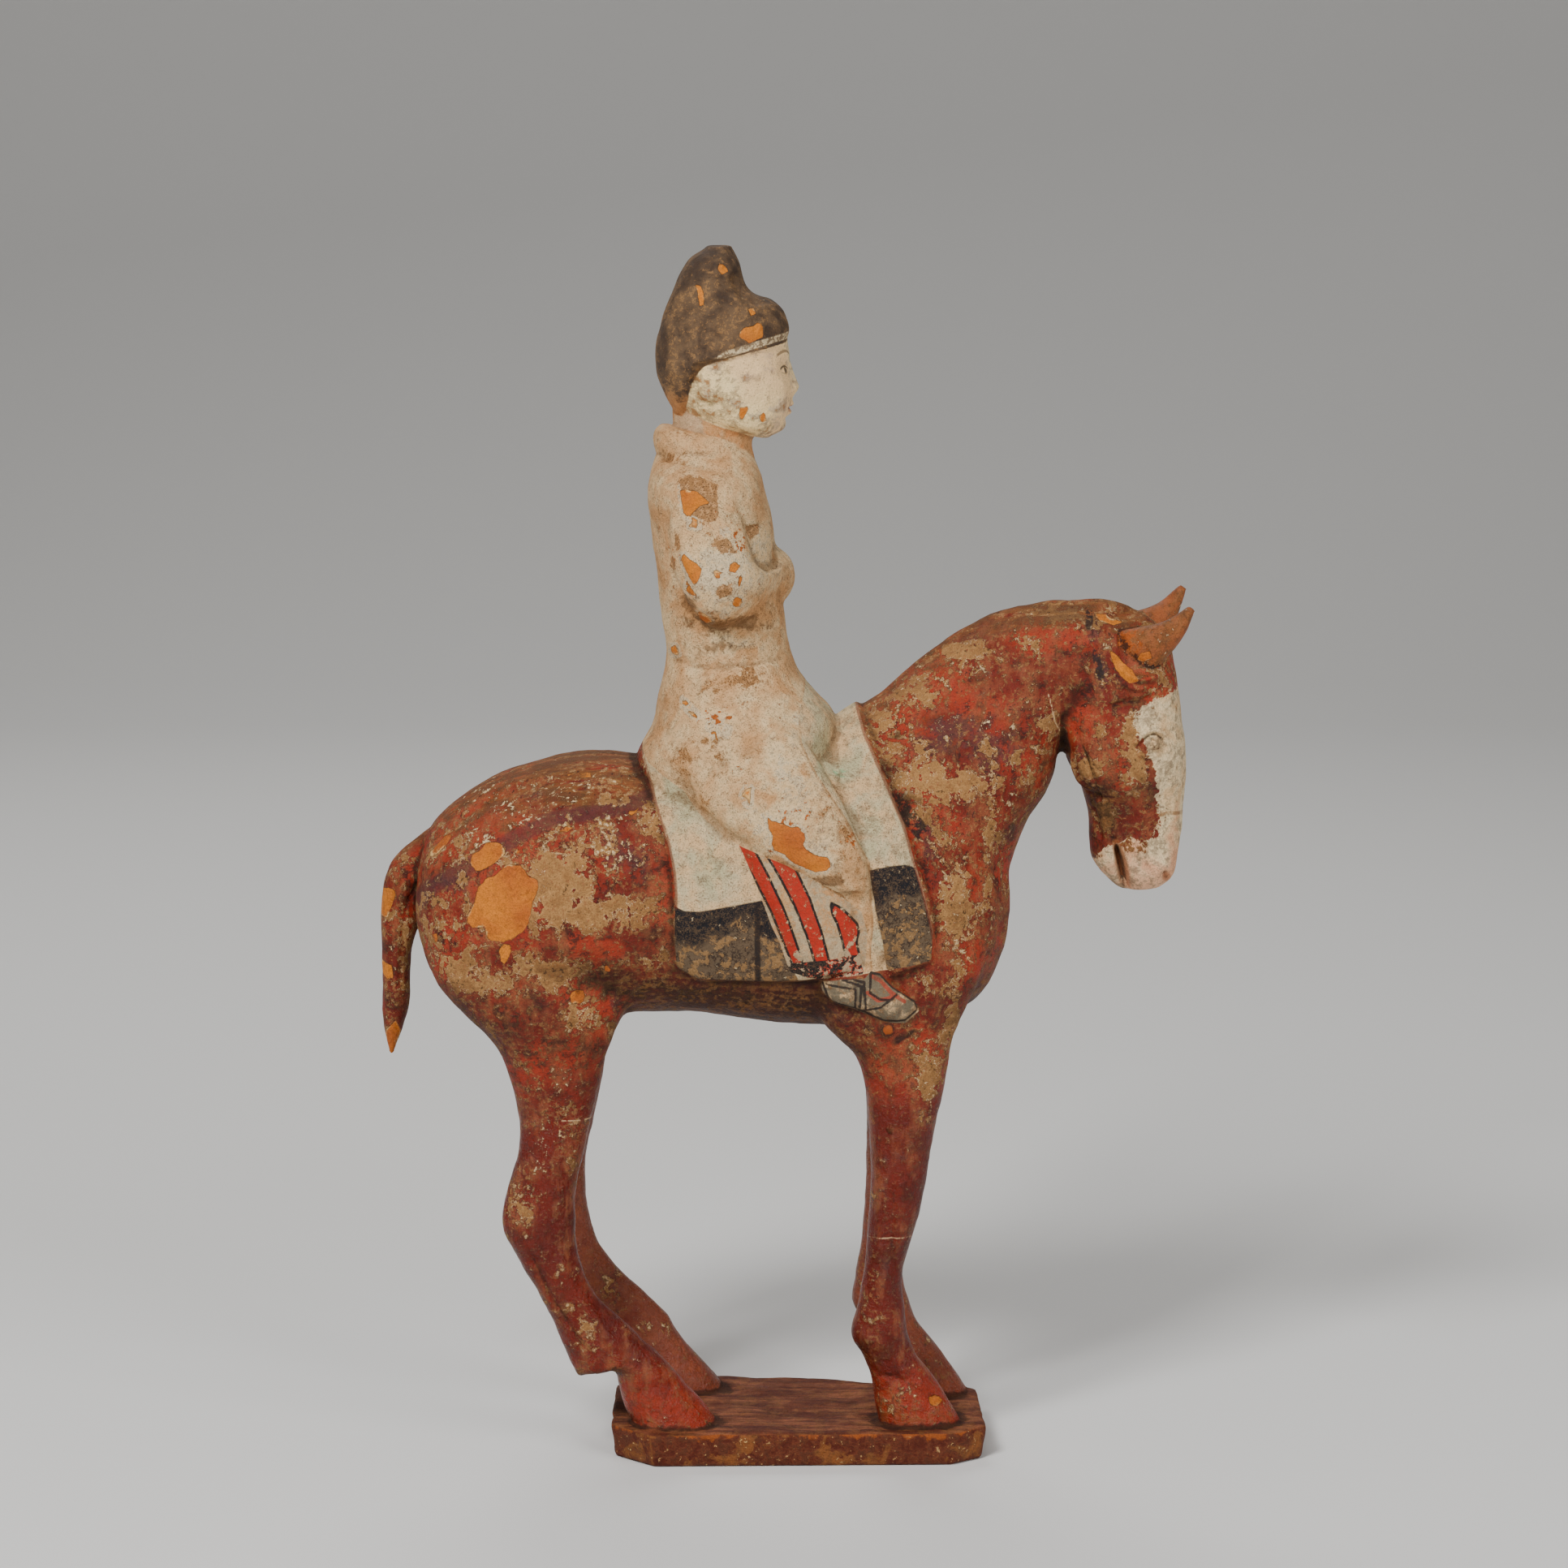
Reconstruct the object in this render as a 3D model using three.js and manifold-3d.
// A terracotta rider on a standing horse, modelled as the one fired piece that it is.
// Millimetres, +Z up. The horse faces +X, its right side is towards -Y, and the origin
// lies in the horse's middle plane, on the underside of the base slab.
import * as THREE from "three";
import { mergeVertices } from "three/addons/utils/BufferGeometryUtils.js";
import Module from "manifold-3d";

const wasm = await Module();
wasm.setup();

// Driving dimensions
const HEIGHT = 380; // underside of the base slab to the tip of the cap
const DRAWN_HEIGHT = 380; // the height at which the ribs below were drawn
const SCALE = HEIGHT / DRAWN_HEIGHT;
const SLAB_THICKNESS = 11;
const SLAB_TAPER = 0.975; // the underside's share of the top
const CLOTH_THICKNESS = 1.7; // saddle cloth, proud of the barrel
const ROBE_THICKNESS = 3.2; // skirt of the robe, proud of the barrel
const BOTH_SIDES = [-1, 1]; // right side, left side

// A rib is one cross-section of a limb or body. It runs from point A to point B of the side
// view, and bulges half its width to each side of mid, the Y of its middle.
// Columns: ax, az, bx, bz, half, mid, square (2 is an ellipse), egg (above 0: wider at A).
const ROUND = 2;

const TRUNK = [
  [-118.8, 187, -118.5, 166, 16, 0, 2.2, -0.1],
  [-114, 200, -113, 151.5, 28, 0, 2.2, -0.12],
  [-103, 209.9, -100.5, 140, 34.5, 0, 2.3, -0.1],
  [-86, 218, -84, 134, 38, 0, 2.4, -0.06],
  [-66, 222.1, -62, 139.5, 38.5, 0, 2.5, 0],
  [-43, 220.6, -40, 141.5, 36.5, 0, 2.6, 0],
  [-16, 219, -12, 138.2, 36.5, 0, 2.6, 0],
  [6, 224, 10, 136.5, 36.5, 0, 2.6, 0],
  [26, 226, 26, 136, 35, 0, 2.5, 0],
  [44, 216, 42, 137.5, 31, 0, 2.4, 0],
  [59.5, 202, 57.5, 145, 24, 0, 2.3, 0],
  [66.8, 187, 64.4, 159.5, 13, 0, 2.2, 0],
];
const CROUP_GROOVE = { fromX: -122, toX: -50, depth: 0.07, width: 0.22 };

const NECK = [
  [-8, 218, 54, 146, 27, 0, 2.2, 0.05],
  [7.5, 229.2, 65.2, 166, 28, 0, 2.2, -0.05],
  [19.5, 236.7, 66.6, 183, 25, 0, 2.2, -0.1],
  [34, 247, 72, 200, 21, 0, 2.2, -0.12],
  [50, 258.5, 79, 211.5, 18, 0, 2.2, -0.1],
  [67, 266, 81.5, 223, 16.5, 0, 2.2, 0],
  [86, 268.5, 84, 231, 16, 0, 2.2, 0.05],
  [100, 267, 93, 236, 13.5, 0, 2.2, 0.05],
];
const MANE = [
  [13, 233, 22, 225, 4.5, 0, 3, 0],
  [24, 240, 31, 231, 4.2, 0, 3, 0],
  [42.8, 255.4, 48, 246, 4, 0, 3, 0],
  [63, 266.8, 66, 256, 4, 0, 3, 0],
  [85.5, 270.6, 85, 258, 4, 0, 3, 0],
  [103, 268.8, 98, 257, 4.5, 0, 3, 0],
  [111, 262, 103, 254, 4, 0, 3, 0],
];
const HORSE_HEAD = [
  [108, 267, 93, 260, 9, 0, 2.2, 0],
  [115, 260, 85, 246, 14.5, 0, 2.3, 0],
  [118, 250, 81, 233, 16, 0, 2.4, 0],
  [119.6, 238.5, 82.5, 226.5, 17, 0, 2.5, 0],
  [121, 228, 85.5, 220.5, 17.2, 0, 2.5, 0],
  [121.6, 217, 89, 212.5, 15.5, 0, 2.4, -0.12],
  [121.2, 206, 91.2, 204.5, 12.5, 0, 2.3, -0.15],
  [120.6, 197, 91.8, 197, 10.6, 0, 2.3, -0.1],
  [120.2, 190, 92.8, 189.5, 10.8, 0, 2.4, 0],
  [118.8, 184, 96, 184.5, 10.4, 0, 2.4, 0.1],
  [113.8, 179.6, 101.5, 179.2, 7, 0, 2.2, 0],
];
const NOSTRIL = { centre: [115.2, 185.6], size: [2, 1.6, 1.5], side: 8.4 };
const MOUTH_SLIT = { corner: [98.5, 193.5], lip: [105, 176], width: 2.6, depth: 24 };

// The right ear. The left one stands a little higher.
const EAR = [
  [99.5, 254, 106, 247.5, 3, 9.5, ROUND, 0],
  [101, 260, 110, 251, 4.2, 11, ROUND, 0],
  [105.5, 262.8, 115.2, 256, 4.4, 12.5, ROUND, 0],
  [113, 265.2, 120.2, 261.8, 3.2, 13.5, ROUND, 0],
  [120.8, 270, 122.8, 268.6, 1, 14, ROUND, 0],
];
const LEFT_EAR_LIFT = 3.6; // at its tip

const FORELEG = [
  [2, 172, 56, 172, 11, 20.5, 2.3, 0],
  [3, 156, 57.6, 158.5, 12.5, 21, 2.3, 0],
  [4, 146.5, 53.6, 147.5, 12.3, 21.5, 2.2, 0],
  [10, 137.8, 49.8, 139, 11, 22, 2.2, 0],
  [18.4, 129.5, 47.4, 130, 9.6, 22, 2.2, 0],
  [21.6, 118, 45.6, 118, 8.6, 22, 2.2, 0],
  [22.6, 102, 42.3, 102, 7.8, 22, 2.2, 0],
  [22.6, 86, 39.8, 86, 7.4, 21.5, 2.2, 0],
  [22, 72, 36.2, 72, 6.8, 21, 2.2, 0],
  [20.8, 59, 33.4, 59, 6.1, 20.5, 2.2, 0],
  [18.8, 48, 34.2, 48, 6.3, 20, 2.2, 0],
  [17, 39.5, 35.2, 40, 7, 19.5, 2.2, 0],
  [20.4, 33.2, 37.6, 33, 6.6, 19, 2.2, 0],
  [23.4, 26.5, 42.5, 26.5, 7.2, 18.5, 2.2, 0],
  [24.4, 19, 47.4, 18.5, 8.4, 18, 2.3, 0],
  [25.8, 11, 52, 11, 9.4, 18, 2.4, 0],
  [26.3, 8, 53, 8, 9.4, 18, 2.4, 0],
];
const HINDLEG = [
  [-116, 174, -60, 178, 14, 20, 2.2, 0],
  [-113, 156, -54, 160, 14.5, 22, 2.2, 0],
  [-104, 144, -52.5, 148, 13.5, 23, 2.2, 0],
  [-95, 135.5, -56.8, 137, 11, 23, 2.2, 0],
  [-89.6, 124.5, -60.6, 125, 9, 22.5, 2.2, 0],
  [-87, 110, -64, 110, 7.8, 22, 2.2, 0],
  [-87.4, 98, -66.6, 98, 7.2, 22, 2.2, 0],
  [-90.6, 87.5, -69.2, 88, 7, 22, 2.2, 0],
  [-92.8, 77, -69.8, 79, 7, 22, 2.2, 0],
  [-88.8, 67.5, -68.6, 67, 6.5, 21.8, 2.2, 0],
  [-82.8, 57, -65, 56.5, 6, 21.5, 2.2, 0],
  [-77.8, 46.5, -58.6, 48, 5.7, 21.3, 2.2, 0],
  [-73.4, 36.5, -51, 41, 6, 21, 2.3, 0],
  [-69.4, 26.3, -44, 33.5, 6.6, 21, 2.4, 0],
];
const HIND_FOOT = [
  [-62, 38, -46, 36, 5, 21, 2.2, 0],
  [-57.6, 29.5, -41.5, 31, 6.6, 20.5, 2.2, 0],
  [-56.4, 22.5, -35.5, 23.3, 7.6, 20, 2.2, 0],
  [-54.2, 15.5, -29.5, 17, 8.8, 20, 2.3, 0],
  [-51.5, 11, -25.6, 11.5, 9.6, 20, 2.4, 0],
  [-50.5, 8, -25, 8, 9.6, 20, 2.4, 0],
];
// How the left legs depart from the right ones: ahead and inwards by so much at the low end,
// more and more from a given height down.
const LEFT_FORE = { ahead: 3.6, inwards: 4.5, from: 52 };
const LEFT_HIND = { ahead: 3.2, inwards: 2.5, from: 125 };
const LEFT_HIND_FOOT = { ahead: 1.5, inwards: 2.5 };

const TAIL = [
  [-105, 204.5, -110, 190, 4.5, 0, ROUND, 0],
  [-117.2, 196.8, -113.5, 186.5, 6.2, 0, ROUND, 0],
  [-126.8, 188.5, -118, 180.5, 7, 0, ROUND, 0],
  [-131, 176, -118.2, 171.5, 7.3, 0, ROUND, 0],
  [-131, 160, -121.6, 159, 6.6, 0, ROUND, 0],
  [-131, 146, -122.4, 146, 5.6, 0, ROUND, 0],
  [-130.6, 134.5, -124.4, 136, 3.6, 0, ROUND, 0],
  [-129.2, 126, -127.8, 125.8, 0.7, 0, ROUND, 0],
];

// The rider
const ROBE_BODY = [
  [-50, 203, 9, 210, 31, 0, 2.6, 0],
  [-50.3, 221.5, 12.5, 232.5, 34, 0, 2.6, 0],
  [-44.6, 232, 6.5, 240.5, 29.5, 0, 2.5, 0],
  [-43, 243, 0.4, 248, 25, 0, 2.4, 0],
  [-40.8, 253.5, -2.2, 256, 21.5, 0, 2.4, 0],
  [-41.8, 265, -4, 266, 22.5, 0, 2.4, 0],
  [-43.5, 279, -6, 279, 24.5, 0, 2.4, 0],
  [-45.2, 293, -7.6, 293, 26.5, 0, 2.4, 0],
  [-46.2, 304.5, -10.4, 305.5, 26.5, 0, 2.4, 0],
  [-44.5, 313.5, -13, 314, 20.5, 0, 2.3, 0],
  [-42, 318.5, -15, 317.5, 13, 0, 2.2, 0],
];
const COLLAR = [
  [-42, 313.5, -15, 312, 14.5, 0, 2.2, 0],
  [-44.4, 319, -15.5, 315.5, 15, 0, 2.2, 0],
  [-44.2, 323, -16.2, 318.5, 14.4, 0, 2.2, 0],
  [-42, 325, -18, 319.8, 12.6, 0, 2.2, 0],
];
const RIDER_NECK = [
  [-38.5, 314, -13, 314, 10.5, 0, ROUND, 0],
  [-38.2, 325, -13.6, 320.5, 10.3, 0, ROUND, 0],
  [-38.5, 333, -9, 329, 10.5, 0, ROUND, 0],
];
// A plain oval head in even proportions: chin, mouth, nose, eyes and brow by thirds.
const RIDER_HEAD = [
  [-15, 322, -9, 320.8, 5, 0, ROUND, 0],
  [-30, 326, -5, 323.6, 12.2, 0, 2.2, 0],
  [-37, 331.5, -2.2, 330, 15, 0, 2.3, 0],
  [-40, 339, -1.8, 337.5, 16.4, 0, 2.3, 0],
  [-41, 347, -2.4, 346, 16.4, 0, 2.3, 0],
  [-39, 356, -4, 355, 15.2, 0, 2.3, 0],
  [-33, 364, -9, 363, 10, 0, 2.2, 0],
];
const NOSE = { top: [-1.8, 343], tip: [0.2, 335], half: 1.9 };
const CAP = [
  [-37.5, 329, -34.5, 328.5, 7, 0, 2.2, 0],
  [-40.6, 334.5, -31, 333, 12, 0, 2.3, 0],
  [-43.2, 342, -25, 342.5, 16.2, 0, 2.3, 0],
  [-43.8, 348.5, -4, 350.5, 17.6, 0, 2.4, 0],
  [-42.2, 355, -2.6, 355.5, 17, 0, 2.3, 0],
  [-40.6, 361, -7, 362.5, 15, 0, 2.2, 0],
  [-37.4, 368.5, -15, 367.5, 12.4, 0, 2.2, 0],
  [-33, 376, -17.6, 374.5, 10.2, 0, 2.2, 0],
  [-27.5, 379.8, -20.4, 379.6, 5, 0, 2.2, 0],
];
const CAP_BROW = { centre: [-14.6, 355], size: [11.6, 14.6, 10.6] };

// The right sleeve, shoulder to joined cuffs, then the rounded cuff that both share.
const SLEEVE = [
  [-38, 309, -17, 308, 6, 17, 2.2, 0],
  [-38.4, 298, -17.6, 300, 8.5, 24.5, 2.2, 0],
  [-38.2, 286, -15, 291, 9, 27, 2.2, 0],
  [-33.5, 273.5, -12.5, 284.5, 9, 27.5, 2.2, 0],
  [-25.5, 264.3, -9, 281.5, 8.5, 23.5, 2.2, 0],
  [-14.5, 265.5, -5.5, 282, 7.5, 14, 2.2, 0],
  [-8, 268.5, -2.8, 284, 6.5, 5, 2.2, 0],
];
const STIRRUP = { centre: [28.2, 141], size: [2.4, 2, 2.4], side: 32 };
const CUFF = { centre: [-9, 278], size: [8.8, 10.8, 9.2] };

const THIGH = [
  [-42, 219, -14, 243, 7, 20, 2.2, 0],
  [-31, 209.5, 2, 231, 8.6, 30, 2.2, 0],
  [-17.5, 199.5, 13.5, 212, 7.8, 35.4, 2.2, 0],
  [-1, 192, 20.5, 197, 6.2, 37.6, 2.2, 0],
  [11, 185.5, 23, 185.5, 4, 38, 2.2, 0],
];
const SHIN = [
  [-15, 197, 13, 196, 3.6, 36.2, 2.6, 0],
  [-9.6, 182, 15.5, 183, 4.2, 36.8, 2.6, 0],
  [-4.5, 169.5, 18.4, 171, 3.8, 36.2, 2.6, 0],
  [1.5, 157.5, 20, 161, 3, 35, 2.6, 0],
];
const SHOE = [
  [7.4, 156, 7.4, 152.2, 2.6, 32.5, 2.4, 0],
  [12, 159.5, 12, 148.8, 5, 32.5, 2.4, 0],
  [19, 162.3, 20.5, 146.8, 5.6, 32.5, 2.4, 0],
  [27, 158.6, 27.5, 144, 5.4, 32.4, 2.4, 0],
  [33, 153.6, 33, 143.4, 4.6, 32, 2.4, 0],
  [37, 149.8, 37, 146.6, 2, 31.6, 2.4, 0],
];

// Side-view outlines: corners of the slab from above, and edges of the two cloths.
const SLAB_OUTLINE = [
  [-59, -22],
  [-46, -33.5],
  [50, -31.5],
  [60, -24.5],
  [58.8, 16],
  [48, 20.5],
  [27, 20.5],
  [8, 27],
  [-46, 30.5],
  [-59, 20],
];
const CLOTH_REAR_EDGE = [
  [-51, 232],
  [-45.5, 216.7],
  [-39.7, 200],
  [-37.4, 182],
  [-36.8, 161],
];
const CLOTH_FRONT_EDGE = [
  [41.5, 162],
  [40.4, 180],
  [35.3, 196],
  [27.4, 216.6],
  [20, 237],
  [18, 246],
];
const CLOTH_HEM_Z = 156.5;
const ROBE_REAR_EDGE = [
  [-51, 224],
  [-34.7, 213],
  [-16.9, 196],
  [1.7, 189.5],
  [15.9, 180.5],
  [22.9, 168],
  [26.5, 158.5],
];
const ROBE_FRONT_EDGE = [
  [28.8, 158.5],
  [23.2, 182],
  [19.5, 202],
  [11.6, 222],
  [12, 236],
];

// A smooth row of points through the given ones.
function spline(points) {
  return new THREE.CatmullRomCurve3(points, false, "centripetal");
}

// A geometry as a solid that can be joined and cut.
function solidOf(geometry) {
  geometry.deleteAttribute("normal");
  geometry.deleteAttribute("uv");
  const merged = mergeVertices(geometry, 1e-4);
  const triVerts = new Uint32Array(merged.index.array);
  const vertProperties = merged.attributes.position.array;
  const solid = new wasm.Manifold(new wasm.Mesh({ numProp: 3, vertProperties, triVerts }));
  if (solid.volume() > 0) return solid;
  for (let i = 0; i < triVerts.length; i += 3) {
    [triVerts[i], triVerts[i + 1]] = [triVerts[i + 1], triVerts[i]];
  }
  return new wasm.Manifold(new wasm.Mesh({ numProp: 3, vertProperties, triVerts }));
}

// Where a section's outline lies at an angle: share of the way to A, and share of the half width.
function sectionPoint(angle, square, egg) {
  const bend = (value) => Math.sign(value) * Math.abs(value) ** (2 / square);
  const along = bend(Math.cos(angle));
  const across = bend(Math.sin(angle)) * (1 + egg * along);
  return [along, across];
}

// The solid that runs through the ribs, with sides facets round and steps facets long.
// grow swells every rib, and groove(x) gives the depth of a furrow along the A side.
function loft(ribs, steps, sides, { grow = 0, groove = null } = {}) {
  const aLine = spline(ribs.map(([ax, az]) => new THREE.Vector3(ax, 0, az)));
  const bLine = spline(ribs.map(([, , bx, bz]) => new THREE.Vector3(bx, 0, bz)));
  const widths = spline(ribs.map(([, , , , half, mid]) => new THREE.Vector3(half, mid, 0)));
  const shapes = spline(ribs.map(([, , , , , , square, egg]) => new THREE.Vector3(square, egg, 0)));
  const vertices = [];
  const faces = [];
  for (let i = 0; i <= steps; i++) {
    const a = aLine.getPoint(i / steps);
    const b = bLine.getPoint(i / steps);
    const { x: half, y: mid } = widths.getPoint(i / steps);
    const { x: square, y: egg } = shapes.getPoint(i / steps);
    const middle = a.clone().add(b).multiplyScalar(0.5);
    const reach = a.clone().sub(middle);
    reach.setLength(reach.length() + grow);
    for (let j = 0; j < sides; j++) {
      const [along, across] = sectionPoint((2 * Math.PI * j) / sides, square, egg);
      const furrow = groove && along > 0 ? groove(middle.x, across) : 0;
      const point = middle.clone().addScaledVector(reach, along - furrow);
      point.y = mid + across * (half + grow);
      vertices.push(...point.toArray());
    }
  }
  const ring = (i, j) => i * sides + (j % sides);
  for (let i = 0; i < steps; i++) {
    for (let j = 0; j < sides; j++) {
      faces.push(ring(i, j), ring(i + 1, j), ring(i + 1, j + 1));
      faces.push(ring(i, j), ring(i + 1, j + 1), ring(i, j + 1));
    }
  }
  for (let j = 1; j < sides - 1; j++) {
    faces.push(ring(0, 0), ring(0, j), ring(0, j + 1));
    faces.push(ring(steps, 0), ring(steps, j + 1), ring(steps, j));
  }
  const geometry = new THREE.BufferGeometry();
  geometry.setAttribute("position", new THREE.Float32BufferAttribute(vertices, 3));
  geometry.setIndex(faces);
  return solidOf(geometry);
}

// Ribs moved to one side of the horse. Below a given height they go ahead and inwards, fully
// so at the low end. Lift raises them, fully so at the high end.
function placed(ribs, side, { ahead = 0, inwards = 0, lift = 0, from = Infinity } = {}) {
  const heights = ribs.map((rib) => rib[1]);
  const lowest = Math.min(...heights);
  const highest = Math.max(...heights);
  const start = Math.min(from, highest);
  return ribs.map(([ax, az, bx, bz, half, mid, square, egg]) => {
    const share = Math.max(0, (start - az) / (start - lowest));
    const rise = (lift * (az - lowest)) / (highest - lowest);
    const forward = ahead * share;
    const y = side * (mid - inwards * share);
    return [ax + forward, az + rise, bx + forward, bz + rise, half, y, square, egg];
  });
}

// An ellipsoid with its centre in the middle plane.
function ball([x, z], [rx, ry, rz], y = 0, widthSegments = 16, heightSegments = 10) {
  const geometry = new THREE.SphereGeometry(1, widthSegments, heightSegments);
  return solidOf(geometry.scale(rx, ry, rz).translate(x, y, z));
}

// A side-view outline made into a slab that reaches across the whole horse.
function acrossHorse(outline, halfDepth) {
  const shape = new THREE.Shape(outline.map(([x, z]) => new THREE.Vector2(x, z)));
  const geometry = new THREE.ExtrudeGeometry(shape, { depth: 2 * halfDepth, bevelEnabled: false });
  return solidOf(geometry.rotateX(Math.PI / 2).translate(0, halfDepth, 0));
}

// Points evenly along a smooth side-view edge.
function edge(points, count) {
  const curve = spline(points.map(([x, z]) => new THREE.Vector3(x, 0, z)));
  return curve.getPoints(count).map(({ x, z }) => [x, z]);
}

// The slab narrows slightly towards the underside.
function slab() {
  const shape = new THREE.Shape(SLAB_OUTLINE.map(([x, y]) => new THREE.Vector2(x, y)));
  const geometry = new THREE.ExtrudeGeometry(shape, { depth: SLAB_THICKNESS, bevelEnabled: false });
  const points = geometry.attributes.position;
  for (let i = 0; i < points.count; i++) {
    const share = points.getZ(i) < SLAB_THICKNESS / 2 ? SLAB_TAPER : 1;
    points.setXY(i, points.getX(i) * share, points.getY(i) * share);
  }
  return solidOf(geometry);
}

// The furrow that parts the croup into two round hams.
function croupGroove(x, across) {
  const { fromX, toX, depth, width } = CROUP_GROOVE;
  const along = THREE.MathUtils.clamp((x - fromX) / (toX - fromX), 0, 1);
  return depth * Math.sin(Math.PI * along) * Math.exp(-((across / width) ** 2));
}

function trunk(grow = 0) {
  return loft(TRUNK, 20, 24, { grow, groove: croupGroove });
}

function mouthSlit() {
  const { corner, lip, width, depth } = MOUTH_SLIT;
  const outline = [corner, [lip[0] - width / 2, lip[1]], [lip[0] + width / 2, lip[1]]];
  return acrossHorse(outline, depth / 2);
}

function horseHead() {
  const eyes = BOTH_SIDES.map((side) => ball([110.8, 227.5], [4.6, 3.2, 3.6], side * 13.6, 8, 5));
  const cheeks = BOTH_SIDES.map((side) => ball([93.5, 222.5], [9, 4.5, 11], side * 12.6, 10, 6));
  const nostrils = BOTH_SIDES.map((side) => ball(NOSTRIL.centre, NOSTRIL.size, side * NOSTRIL.side, 6, 4));
  const full = wasm.Manifold.union([loft(HORSE_HEAD, 15, 14), ...eyes, ...cheeks]);
  return wasm.Manifold.difference([full, mouthSlit(), ...nostrils]);
}

function ears() {
  return [
    loft(placed(EAR, -1), 5, 8),
    loft(placed(EAR, 1, { lift: LEFT_EAR_LIFT }), 5, 8),
  ];
}

function legs() {
  const footLeft = HIND_FOOT.map(([ax, az, bx, bz, half, mid, ...shape]) => {
    const { ahead, inwards } = LEFT_HIND_FOOT;
    return [ax + ahead, az, bx + ahead, bz, half, mid - inwards, ...shape];
  });
  return [
    loft(placed(FORELEG, -1), 19, 10),
    loft(placed(FORELEG, 1, LEFT_FORE), 19, 10),
    loft(placed(HINDLEG, -1), 18, 10),
    loft(placed(HINDLEG, 1, LEFT_HIND), 18, 10),
    loft(placed(HIND_FOOT, -1), 6, 10),
    loft(placed(footLeft, 1), 6, 10),
  ];
}

// The saddle cloth and the robe's skirt are thicknesses laid over the barrel.
function barrel(grow) {
  return trunk(grow).add(loft(NECK, 11, 16, { grow }));
}

function saddleCloth() {
  const outline = [...edge(CLOTH_REAR_EDGE, 8), [-30, CLOTH_HEM_Z], [28, CLOTH_HEM_Z], ...edge(CLOTH_FRONT_EDGE, 8)];
  return barrel(CLOTH_THICKNESS).intersect(acrossHorse(outline, 60));
}

function skirt() {
  const outline = [...edge(ROBE_REAR_EDGE, 12), ...edge(ROBE_FRONT_EDGE, 8)];
  return barrel(ROBE_THICKNESS).intersect(acrossHorse(outline, 60));
}

function riderLimbs() {
  return BOTH_SIDES.flatMap((side) => [
    loft(placed(SLEEVE, side), 10, 10),
    loft(placed(THIGH, side), 6, 10),
    loft(placed(SHIN, side), 4, 10),
    loft(placed(SHOE, side), 7, 8),
    ball(STIRRUP.centre, STIRRUP.size, side * STIRRUP.side, 8, 5),
  ]);
}

function riderHead() {
  const { top, tip, half } = NOSE;
  const bridge = [top, tip, [-4, tip[1] - 1.2], [-6, top[1]]];
  const nose = acrossHorse(bridge, half);
  const ears = BOTH_SIDES.map((side) => ball([-27, 338.5], [3.2, 2.2, 5.6], side * 15.6, 8, 6));
  return [
    loft(RIDER_NECK, 3, 12),
    loft(RIDER_HEAD, 10, 14),
    nose,
    ...ears,
    loft(CAP, 11, 14),
    ball(CAP_BROW.centre, CAP_BROW.size, 0, 12, 8),
  ];
}

function figure() {
  const solids = [
    slab(),
    trunk(),
    loft(NECK, 11, 16),
    loft(MANE, 10, 6),
    horseHead(),
    ...ears(),
    ...legs(),
    loft(TAIL, 12, 8),
    saddleCloth(),
    skirt(),
    loft(ROBE_BODY, 14, 16),
    loft(COLLAR, 4, 14),
    ...riderLimbs(),
    ball(CUFF.centre, CUFF.size, 0, 12, 8),
    ...riderHead(),
  ];
  return wasm.Manifold.union(solids);
}

function meshOf(name, solid, material) {
  const { vertProperties, triVerts } = solid.getMesh();
  const geometry = new THREE.BufferGeometry();
  geometry.setAttribute("position", new THREE.BufferAttribute(vertProperties, 3));
  geometry.setIndex(new THREE.BufferAttribute(triVerts, 1));
  geometry.scale(SCALE, SCALE, SCALE);
  geometry.computeVertexNormals();
  const mesh = new THREE.Mesh(geometry, material);
  mesh.name = name;
  return mesh;
}

const paintedTerracotta = new THREE.MeshStandardMaterial({
  color: 0x9a5136,
  roughness: 0.8,
  metalness: 0,
});

const part = new THREE.Group();
part.add(meshOf("equestrian_figure", figure(), paintedTerracotta));

export default part;
